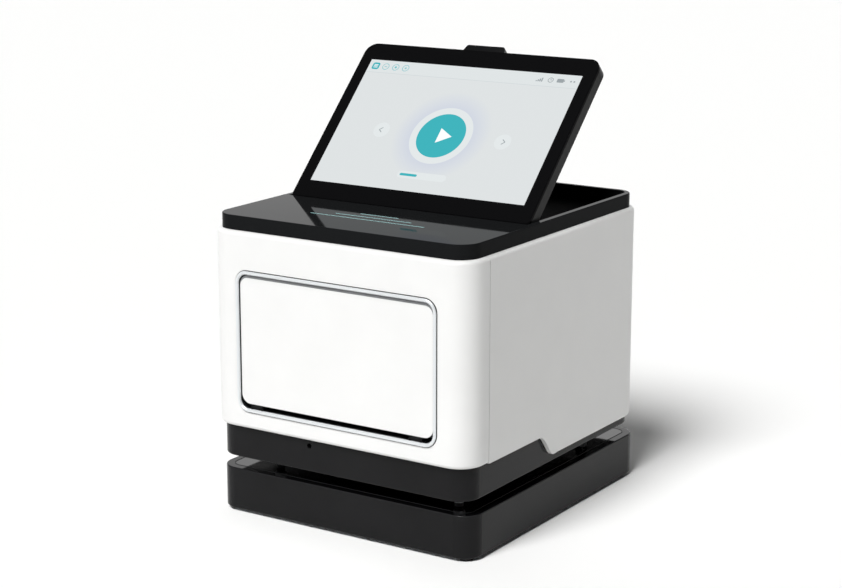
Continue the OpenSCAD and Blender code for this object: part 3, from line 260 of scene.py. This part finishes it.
# ---------------------------------------------------------------- feet
# The plinth stands on four moulded rubber feet, each held by a screw through its middle. The
# instrument stands on the plinth on four grey domed levelling feet with rubber pads.
def rubber(name, colour, bloom_colour, roughness):
    """Moulded nitrile rubber: dull, with a dusty bloom in patches and fine pores."""
    material = new_material(name)
    place = add(material, "ShaderNodeTexCoord").outputs["Object"]
    bloom = add(material, "ShaderNodeTexNoise", {"Vector": place, "Scale": 1 / (12 * MM), "Detail": 4.0})
    tint = add(material, "ShaderNodeValToRGB", {"Fac": bloom.outputs["Fac"]},
               stops=[(0.35, colour), (0.8, bloom_colour)])
    pores = add(material, "ShaderNodeTexNoise", {"Vector": place, "Scale": 1 / (0.5 * MM), "Detail": 2.0})
    bump = add(material, "ShaderNodeBump", {
        "Height": pores.outputs["Fac"], "Distance": 0.05 * MM, "Strength": 0.5})
    return surface(material, {
        "Base Color": tint.outputs["Color"], "Roughness": roughness, "IOR": 1.52,
        "Normal": bump.outputs["Normal"]})


foot_rubber = rubber("moulded_rubber", "#151515", "#2b2b2b", 0.75)
dress(foot_rubber, "base_feet", "unit_foot_pads", "display_bumpers")
# Grey ABS as it leaves the tool: satin, a mid grey that shows between the black pieces.
dress(moulded("grey_abs_satin", "#9b9ea0", "#a4a7a9", 0.34, GRAIN, 0.02 * MM), "unit_feet")

# ---------------------------------------------------------------- chassis
# The chassis is a deep tray in the same black ABS as the plinth, as glossy but without the
# polished rim. It carries the white panels and everything inside.
dress(moulded("black_abs_chassis", "#161617", "#1a1a1b", 0.16, GRAIN, 0.006 * MM, spread=0.03, level=DIM),
      "chassis_tray")

# ---------------------------------------------------------------- white body
# The front, the two sides and the door are moulded in white ABS and sprayed with a satin
# lacquer, so that the light rolls softly round the corners. Its ripple is 1.2 mm across.
dress(moulded("white_abs_satin_lacquer", "#e5e5e4", "#e8e8e7", 0.38, 1.2 * MM, 0.012 * MM, spread=0.04),
      "front_panel", "left_side_panel", "right_side_panel", "door_panel")

# The back is folded steel with a white powder coat, which cures with a slight orange peel.
dress(moulded("white_powder_coat", "#dfe0e0", "#e3e4e3", 0.46, 1.6 * MM, 0.05 * MM), "rear_panel")


# ---------------------------------------------------------------- top cover
# The cover is black polycarbonate, polished on top, so it mirrors the display that stands over
# it. Behind the front strip lies the recess that takes the folded display.
def gloss_black(name, colour, roughness, smudge, matt_box=None):
    """Smooth black plastic with faint smears that blur its mirror, and matt inside a box."""
    material = new_material(name)
    place = add(material, "ShaderNodeTexCoord").outputs["Object"]
    smears = add(material, "ShaderNodeTexNoise", {
        "Vector": place, "Scale": 1 / (50 * MM), "Detail": 5.0, "Roughness": 0.55, "Distortion": 0.6})
    gloss = add(material, "ShaderNodeMapRange", {
        "Value": smears.outputs["Fac"], "From Min": 0.45, "From Max": 0.8,
        "To Min": roughness, "To Max": roughness + smudge}).outputs["Result"]
    if matt_box:
        gloss = add(material, "ShaderNodeMapRange", {
            "Value": inside(material, place, *matt_box), "To Min": gloss, "To Max": 0.85}).outputs["Result"]
    return surface(material, {
        "Base Color": linear(colour), "Roughness": gloss, "IOR": 1.58, "Specular IOR Level": 0.012})


# The outside is polished. The walls and floor of the recess are left as moulded.
RECESS_HALF_W, RECESS_FRONT, RECESS_REAR = 152.4 * MM, -54.6 * MM, 171.4 * MM
POLISHED_RIM = 0.3 * MM
cover_low, cover_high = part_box("top_cover")
recess = (Vector((-RECESS_HALF_W, RECESS_FRONT, cover_low.z)),
          Vector((RECESS_HALF_W, RECESS_REAR, cover_high.z - POLISHED_RIM)))
dress(gloss_black("black_polycarbonate_polished", "#191a1b", 0.04, 0.03, recess), "top_cover")

# Three slim light guides of frosted acrylic lie flush in the strip. They glow a soft teal to show
# the state of a run.
dress(surface(new_material("frosted_acrylic_teal"), {
    "Base Color": linear("#8fb8b8"), "Roughness": 0.4, "IOR": 1.49,
    "Emission Color": linear("#8fc4c4"), "Emission Strength": 0.35}), "status_light_bars")

# ---------------------------------------------------------------- circuit boards
# The boards are glass-fibre laminate under a green solder mask, which has a soft gloss. Copper
# tracks run under the mask in two ways, and show as slightly lighter lines.
TRACK_PITCH = 6 * MM
solder_mask = new_material("green_solder_mask")
place = add(solder_mask, "ShaderNodeTexCoord").outputs["Object"]
tracks = add(solder_mask, "ShaderNodeTexBrick", {
    "Vector": place, "Color1": linear("#12523a"), "Color2": linear("#12523a"), "Mortar": linear("#2a7a56"),
    "Scale": 1 / TRACK_PITCH, "Mortar Size": 0.04, "Brick Width": 1.7, "Row Height": 0.35})
dress(surface(solder_mask, {"Base Color": tracks.outputs["Color"], "Roughness": 0.28, "IOR": 1.55}),
      "status_light_board", "display_board", "port_board", "main_board")

# ---------------------------------------------------------------- display housing
# The display has a smooth black front frame and a grained black back with a finger tab. Its
# hinge leaves and brackets are pressed from nickel-plated steel, on ground steel pins.
dress(gloss_black("black_abs_smooth_frame", "#0e0e0f", 0.1, 0.04), "display_bezel")
# The grain of the back scatters the light, so it looks a dull charcoal.
dress(moulded("black_abs_display_back", "#101011", "#131314", 0.34, GRAIN, 0.03 * MM, level=DIM),
      "display_back")
# Nickel plating is a slightly warm grey with marks along the press. Ground pins are brighter, and
# their marks run round them.
nickel = metal("nickel_plated_steel", "#a9a7a2", 0.28, 0.6 * MM, 0.008 * MM, (6, 1, 1))
dress(nickel, "hinge_brackets", "hinge_leaves", "door_strikes")
ground_steel = metal("ground_steel_pin", "#c4c6c8", 0.2, 0.5 * MM, 0.004 * MM, (1, 8, 8))
dress(ground_steel, "hinge_pins", "door_pins")


# ---------------------------------------------------------------- screen
# The lit screen is a flat panel behind a clear sheet, level with the frame. Its picture is a
# plain start page: a header with small marks, and one round start button with two side keys.
def glowing(name, colour):
    """A patch of the lit picture: it gives its own light, under a clear smooth sheet."""
    return surface(new_material(name), {
        "Base Color": linear("#060606"), "Roughness": 0.18, "Specular IOR Level": 0.3,
        "Emission Color": linear(colour), "Emission Strength": 1.0})


# The panel itself shows only its dull tinned steel back, through the slots of the housing.
dress(metal("tinned_steel_lcd_back", "#9ea1a3", 0.42, 0.8 * MM, 0.006 * MM), "lcd_panel")

# In the display's own frame X runs across, Y up its face from the hinge, and Z out of it.
pin_low, pin_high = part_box("hinge_pins")
TILT = math.radians(45)
TO_DISPLAY = Matrix.Translation((pin_low + pin_high) / 2) @ Matrix.Rotation(TILT, 4, "X")
SCREEN_LOW = 24.0 * MM
SCREEN_W, SCREEN_H = 273.4 * MM, 171.2 * MM
SCREEN_FACE = 4.79 * MM
# The picture is built of thin films that lie on each other in four layers.
FILM = 0.03 * MM
PAGE, MIDDLE, FRONT, TOP = 0, 1, 2, 3


def points(made):
    """The vertices among what an operator made."""
    return [part for part in made if isinstance(part, bmesh.types.BMVert)]


def finish_piece(name, mesh, material, body):
    """Makes the object, gives it its material and fixes it to its body."""
    bmesh.ops.recalc_face_normals(mesh, faces=mesh.faces[:])
    data = bpy.data.meshes.new(name)
    mesh.to_mesh(data)
    mesh.free()
    data.materials.append(material)
    piece = bpy.data.objects.new(name, data)
    scene.collection.objects.link(piece)
    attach(piece, body)
    return piece


def screen_film(name, layer, material, shapes):
    """Joins flat outlines into one thin film on the screen, at the height of its layer."""
    mesh = bmesh.new()
    for shape in shapes:
        shape(mesh)
    face = bmesh.ops.extrude_face_region(mesh, geom=mesh.faces[:])["geom"]
    bmesh.ops.translate(mesh, vec=(0, 0, FILM), verts=points(face))
    bmesh.ops.translate(mesh, vec=(0, SCREEN_LOW, SCREEN_FACE + layer * FILM), verts=mesh.verts[:])
    bmesh.ops.transform(mesh, matrix=TO_DISPLAY, verts=mesh.verts[:])
    return finish_piece(name, mesh, material, "display")


def place_points(mesh, made, x, y, turn):
    """Turns new points about the origin and moves them to (x, y) in millimetres."""
    if turn:
        bmesh.ops.rotate(mesh, matrix=Matrix.Rotation(turn, 3, "Z"), verts=made)
    bmesh.ops.translate(mesh, vec=(x * MM, y * MM, 0), verts=made)


def bar(x, y, w, h, r=0.0, turn=0.0):
    """A rectangle round (x, y) in millimetres, its corners rounded by r."""
    def draw(mesh):
        made = bmesh.ops.create_grid(mesh, x_segments=1, y_segments=1, size=0.5)["verts"]
        bmesh.ops.scale(mesh, vec=(w * MM, h * MM, 1), verts=made)
        if r:
            made = bmesh.ops.bevel(mesh, geom=made, offset=r * MM, segments=6, profile=0.5,
                                   affect="VERTICES", material=-1)["verts"]
        place_points(mesh, made, x, y, turn)
    return draw


def disc(x, y, r, corners=64, turn=0.0):
    """A round patch, or a regular one of a few corners with the first at the top before its turn."""
    def draw(mesh):
        made = bmesh.ops.create_circle(mesh, cap_ends=True, radius=r * MM, segments=corners)["verts"]
        place_points(mesh, made, x, y, turn)
    return draw


def ring(x, y, r, w):
    """A band of width w along a circle of radius r."""
    def draw(mesh):
        before = set(mesh.verts)
        ends = [mesh.verts.new(((r + side * w / 2) * MM, 0, 0)) for side in (-1, 1)]
        edge = mesh.edges.new(ends)
        bmesh.ops.spin(mesh, geom=[*ends, edge], axis=(0, 0, 1), cent=(0, 0, 0),
                       angle=math.radians(360), steps=60, use_merge=True)
        place_points(mesh, [v for v in mesh.verts if v not in before], x, y, 0)
    return draw


# All places on the page are in millimetres: across from its middle, and up from its lower edge.
page_w, page_h = SCREEN_W / MM, SCREEN_H / MM
HEADER_H = 17.4
header_y = page_h - HEADER_H / 2
BUTTON_X, BUTTON_Y = 0.0, 76.0
BUTTON_R, HALO_R = 29.5, 37.9
KEY_X, KEY_SIZE = 78, 20
BAR_Y, BAR_W, BAR_DONE = 21, 62, 22
HOME_X, SEND_X, RUN_X, ADD_X = -127, -113.5, -100, -86.5

# The page is a pale grey with a soft blue shade round the button. The shade is laid out on the
# page's own map, which is its face in metres from its middle.
SHADE_REACH = 60 * MM
page_glow = new_material("screen_page")
uv = add(page_glow, "ShaderNodeUVMap", uv_map="page").outputs["UV"]
button_place = (BUTTON_X * MM, BUTTON_Y * MM - SCREEN_H / 2, 0)
apart = add(page_glow, "ShaderNodeVectorMath", {0: uv, 1: button_place}, operation="DISTANCE")
share = add(page_glow, "ShaderNodeMath", {0: apart.outputs["Value"], 1: 1 / SHADE_REACH},
            operation="MULTIPLY")
shade = add(page_glow, "ShaderNodeValToRGB", {"Fac": share.outputs["Value"]}, stops=[
    (0.55, "#cfd5e2"), (0.78, "#d8dde4"), (1.0, "#dfe3e4")])
surface(page_glow, {
    "Base Color": linear("#060606"), "Roughness": 0.18, "Specular IOR Level": 0.3,
    "Emission Color": shade.outputs["Color"], "Emission Strength": 1.0})
page = screen_film("screen_page", PAGE, page_glow, [bar(0, page_h / 2, page_w, page_h)])
page_uv = page.data.uv_layers.new(name="page")
TO_PAGE = (TO_DISPLAY @ Matrix.Translation((0, SCREEN_LOW + SCREEN_H / 2, 0))).inverted()
for loop in page.data.loops:
    page_uv.data[loop.index].uv = (TO_PAGE @ page.data.vertices[loop.vertex_index].co).xy

# Pale: the button's halo, the track of the progress bar and the two side keys.
screen_film("screen_pale_marks", MIDDLE, glowing("screen_pale", "#e4e9ea"), [
    disc(BUTTON_X, BUTTON_Y, HALO_R, 96),
    bar(BUTTON_X, BAR_Y, BAR_W, 9, 4.4),
    bar(BUTTON_X - KEY_X, BUTTON_Y, KEY_SIZE, KEY_SIZE, 9.9),
    bar(BUTTON_X + KEY_X, BUTTON_Y, KEY_SIZE, KEY_SIZE, 9.9),
])
screen_film("screen_header", MIDDLE, glowing("screen_header_grey", "#e0e5e6"),
            [bar(0, header_y, page_w, HEADER_H)])
screen_film("screen_header_line", FRONT, glowing("screen_line_grey", "#cdd4d7"),
            [bar(0, page_h - HEADER_H - 0.2, page_w, 0.5)])
# Teal: the button, the home mark's tile and the done part of the bar.
screen_film("screen_button", FRONT, glowing("screen_teal", "#3fb4bd"), [
    disc(BUTTON_X, BUTTON_Y, BUTTON_R, 96),
    bar(HOME_X, header_y, 9.5, 9.5, 2.4),
    bar(BUTTON_X - 17, BAR_Y, BAR_DONE, 3.2, 1.5),
])
# Soft teal: three ringed marks beside the home mark.
screen_film("screen_marks_teal", FRONT, glowing("screen_soft_teal", "#74c3c9"), [
    ring(SEND_X, header_y, 4.1, 0.7), bar(SEND_X, header_y, 3.6, 0.8, 0.3),
    ring(RUN_X, header_y, 4.1, 0.7), disc(RUN_X, header_y, 1.5, 24),
    ring(ADD_X, header_y, 4.1, 0.7), bar(ADD_X, header_y, 0.8, 3.6, 0.3), bar(ADD_X, header_y, 3.6, 0.8, 0.3),
])
# White: the start arrow and three lines in the home mark.
screen_film("screen_marks_white", TOP, glowing("screen_white", "#ffffff"), [
    disc(BUTTON_X + 2.2, BUTTON_Y, 11.5, 3, -math.pi / 2),
    *[bar(HOME_X, header_y + up, 5.4, 0.9, 0.3) for up in (1.8, 0, -1.8)],
])
# Grey, from left to right: signal bars, a clock, a battery, two dots, then the keys' arrows.
signal = [1.4 + step * 1.3 for step in range(4)]
screen_film("screen_marks_grey", FRONT, glowing("screen_mark_grey", "#9ca4a8"), [
    *[bar(84 + step * 2.2, header_y - 3 + tall / 2, 1.5, tall, 0.2) for step, tall in enumerate(signal)],
    ring(101, header_y, 3.0, 0.8), bar(101, header_y + 0.9, 0.7, 1.9), bar(101.8, header_y, 1.6, 0.7),
    bar(113, header_y, 8.4, 5.0, 1.0), bar(117.9, header_y, 1.0, 2.2, 0.3),
    disc(126, header_y, 1.1, 20), disc(130, header_y, 1.1, 20),
    *[bar(BUTTON_X + side * (KEY_X + 1), BUTTON_Y + 1.6 * up, 5.2, 1.0, 0.4, -0.7 * side * up)
      for side in (-1, 1) for up in (-1, 1)],
])

# ---------------------------------------------------------------- door
# A bead frames the door opening with silver paint on its face. Its flanks are coloured near-black,
# a painted shade in the groove beside it and in the door's gap. A black moulded frame sits behind it.
panel_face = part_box("front_panel")[0].y
ring_low, ring_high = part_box("door_ring")
# Fine flakes in the paint break up its shine. Real ones are 0.05 mm, drawn at 0.8 mm to show.
FLAKE = 0.8 * MM
bead = new_material("silver_paint_with_painted_flank_shade")
place = add(bead, "ShaderNodeTexCoord").outputs["Object"]
flakes = add(bead, "ShaderNodeTexNoise", {"Vector": place, "Scale": 1 / FLAKE, "Detail": 1.0})
gloss = add(bead, "ShaderNodeMapRange", {"Value": flakes.outputs["Fac"], "To Min": 0.26, "To Max": 0.38})
# A face that looks away from the middle of the door is on the outer flank, where the painted
# shade reaches nearer to the front.
FLANK_SHADE_REACH, SHADE_START_DEPTH = 1.1 * MM, 0.2 * MM
away = add(bead, "ShaderNodeVectorMath", {0: place, 1: (ring_low + ring_high) / 2}, operation="SUBTRACT")
away = add(bead, "ShaderNodeVectorMath", {0: away.outputs["Vector"], 1: (1, 0, 1)}, operation="MULTIPLY")
normal = add(bead, "ShaderNodeNewGeometry").outputs["Normal"]
outward = add(bead, "ShaderNodeVectorMath", {0: normal, 1: away.outputs["Vector"]}, operation="DOT_PRODUCT")
outer = add(bead, "ShaderNodeMath", {0: outward.outputs["Value"], 1: 0.0}, operation="GREATER_THAN")
outer_shade_reach = add(bead, "ShaderNodeMath", {0: outer.outputs["Value"], 1: FLANK_SHADE_REACH}, operation="MULTIPLY")
y = add(bead, "ShaderNodeSeparateXYZ", {"Vector": place}).outputs["Y"]
depth = add(bead, "ShaderNodeMath", {0: outer_shade_reach.outputs["Value"], 1: y}, operation="ADD")
silver_face = add(bead, "ShaderNodeMath", {0: depth.outputs["Value"], 1: panel_face + SHADE_START_DEPTH},
              operation="LESS_THAN")
# Painted shade: behind the face line the bead is coloured near-black instead of silver.
bead_silver_and_painted_shade = add(bead, "ShaderNodeMix", {0: silver_face.outputs["Value"], 6: linear("#1c1d1e"), 7: linear("#dfe2e4")},
            data_type="RGBA")
dress(surface(bead, {
    "Base Color": bead_silver_and_painted_shade.outputs[2], "Roughness": gloss.outputs["Result"], "Metallic": 0.35}), "door_ring")

# The frame is a dull near-black that hides in the gap. The reader's head is a satin dark grey,
# and the inside of the door a grained black.
dress(moulded("black_abs_frame", "#0a0a0b", "#0d0d0e", 0.5, GRAIN, 0.03 * MM, level=DIM),
      "door_frame", "door_catches")
dress(moulded("dark_grey_abs", "#3a3c3e", "#404245", 0.44, GRAIN, 0.03 * MM), "sensor_head")
dress(moulded("black_abs_inner_door", "#0b0b0c", "#0e0e0f", 0.6, GRAIN, 0.03 * MM, level=0.15),
      "door_inner_panel")


def rounded_loop(mesh, left, right, bottom, top, r, y):
    """The edges of a rounded rectangle that stands in the plane of the door's face."""
    corners = ((right - r, top - r, 0), (left + r, top - r, 90),
               (left + r, bottom + r, 180), (right - r, bottom + r, 270))
    turns = [(x, z, math.radians(start + 90 * step / 8)) for x, z, start in corners for step in range(9)]
    verts = [mesh.verts.new((x + r * math.cos(a), y, z + r * math.sin(a))) for x, z, a in turns]
    return [mesh.edges.new(pair) for pair in zip(verts, verts[1:] + verts[:1])]


def band(name, outlines, y, reach, material, body):
    """A closed band between two rounded outlines, from the depth y on as far as it reaches."""
    mesh = bmesh.new()
    loops = [rounded_loop(mesh, *outline, y) for outline in outlines]
    bmesh.ops.bridge_loops(mesh, edges=[edge for loop in loops for edge in loop])
    far = bmesh.ops.extrude_face_region(mesh, geom=mesh.faces[:])["geom"]
    bmesh.ops.translate(mesh, vec=(0, reach, 0), verts=points(far))
    return finish_piece(name, mesh, material, body)


# A dull grey rubber strip runs round the door's edge, a little proud of it: a painted shadow where the
# bead shades the door. It is tallest along the top, under the bead, where that shadow is widest.
SHADOW_STRIP_TOP, SHADOW_STRIP_SIDE, SHADOW_STRIP_LOW = 2.8 * MM, 0.3 * MM, 0.15 * MM
SHADOW_STRIP_PROUD = 0.25 * MM
DOOR_R = 11.1 * MM
low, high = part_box("door_panel")
# Painted shadow: a grey strip stands in for the bead's shadow on the edge of the door.
band("door_painted_shadow_strip", [
    (low.x, high.x, low.z, high.z, DOOR_R),
    (low.x + SHADOW_STRIP_SIDE, high.x - SHADOW_STRIP_SIDE, low.z + SHADOW_STRIP_LOW, high.z - SHADOW_STRIP_TOP, DOOR_R - SHADOW_STRIP_TOP / 2),
], low.y, -SHADOW_STRIP_PROUD, rubber("grey_painted_shadow_rubber", "#7b7d7f", "#858789", 0.7), "door")

# A thin black rubber cord fills the groove between the bead and the white panel, a little below the
# panel's face: a dark sheet put in as painted shade, so that the groove shows as a dark line.
SHADE_CORD_CLEAR, SHADE_CORD_SUNK, SHADE_CORD_DEPTH = 0.05 * MM, 0.35 * MM, 1.2 * MM
GROOVE, RING_R = 0.6 * MM, 14.5 * MM
# Painted shade: a black cord fills the groove where shade falls.
band("door_groove_shade_cord", [
    (ring_low.x - out, ring_high.x + out, ring_low.z - out, ring_high.z + out, RING_R + out)
    for out in (SHADE_CORD_CLEAR, GROOVE - SHADE_CORD_CLEAR)
], panel_face + SHADE_CORD_SUNK, SHADE_CORD_DEPTH, foot_rubber, "instrument")

# ---------------------------------------------------------------- bay and drawer
# The bay is folded galvanised sheet, and an aluminium deck carries the hardened rails of the
# loading drawer. The chip rests on a gold-plated warming seat under the reader.
dress(ground_steel, "drawer_rails")

# Galvanised sheet shows the wide soft spangle of its zinc.
dress(metal("galvanised_sheet", "#c2c6c9", 0.36, 6 * MM, 0.006 * MM), "bay_frame", "power_supply")
# Milled aluminium keeps the tool's fine lines. Anodising greys and dulls it.
dress(metal("milled_aluminium", "#c7cacc", 0.3, 0.8 * MM, 0.012 * MM, (1, 10, 1)),
      "drawer_deck", "pump_block")
dress(metal("natural_anodised_aluminium", "#a3a7aa", 0.38, 0.6 * MM, 0.01 * MM, (1, 8, 1)),
      "heat_sink", "drawer_carriages")
# The drawer's dark grey ABS is satin with the tool's grain, the valve block's acetal a waxy white.
dress(moulded("grey_black_abs_drawer", "#383b3e", "#3e4144", 0.42, GRAIN, 0.03 * MM),
      "cartridge_drawer", "cartridge_guides")
dress(moulded("natural_acetal", "#dcdedd", "#e2e3e1", 0.36, GRAIN, 0.02 * MM), "valve_manifold")
# Gold plate is a warm bright yellow.
dress(metal("gold_plated_copper", "#d8b45a", 0.22, 0.5 * MM, 0.004 * MM), "chip_seat", "board_standoffs")

# ---------------------------------------------------------------- rear fittings
# The fan, mains inlet and rocker switch are bought-in parts in black glass-filled nylon. The
# guard is bright stamped steel, and the sockets are tinned.
#
# The glass shows as a coarse dull grain, and the rocker has a smoother, shinier face.
dress(moulded("black_glass_filled_nylon", "#18181a", "#1e1e20", 0.46, 0.7 * MM, 0.04 * MM),
      "cooling_fan_frame", "cooling_fan_rotor", "power_inlet", "switch_housing")
dress(gloss_black("black_nylon_rocker", "#1a1a1b", 0.22, 0.06), "power_rocker")
# Bright nickel is nearly a mirror.
dress(metal("bright_nickel_guard", "#c9cbcd", 0.18, 0.5 * MM, 0.004 * MM),
      "fan_guard", "network_port", "usb_ports")
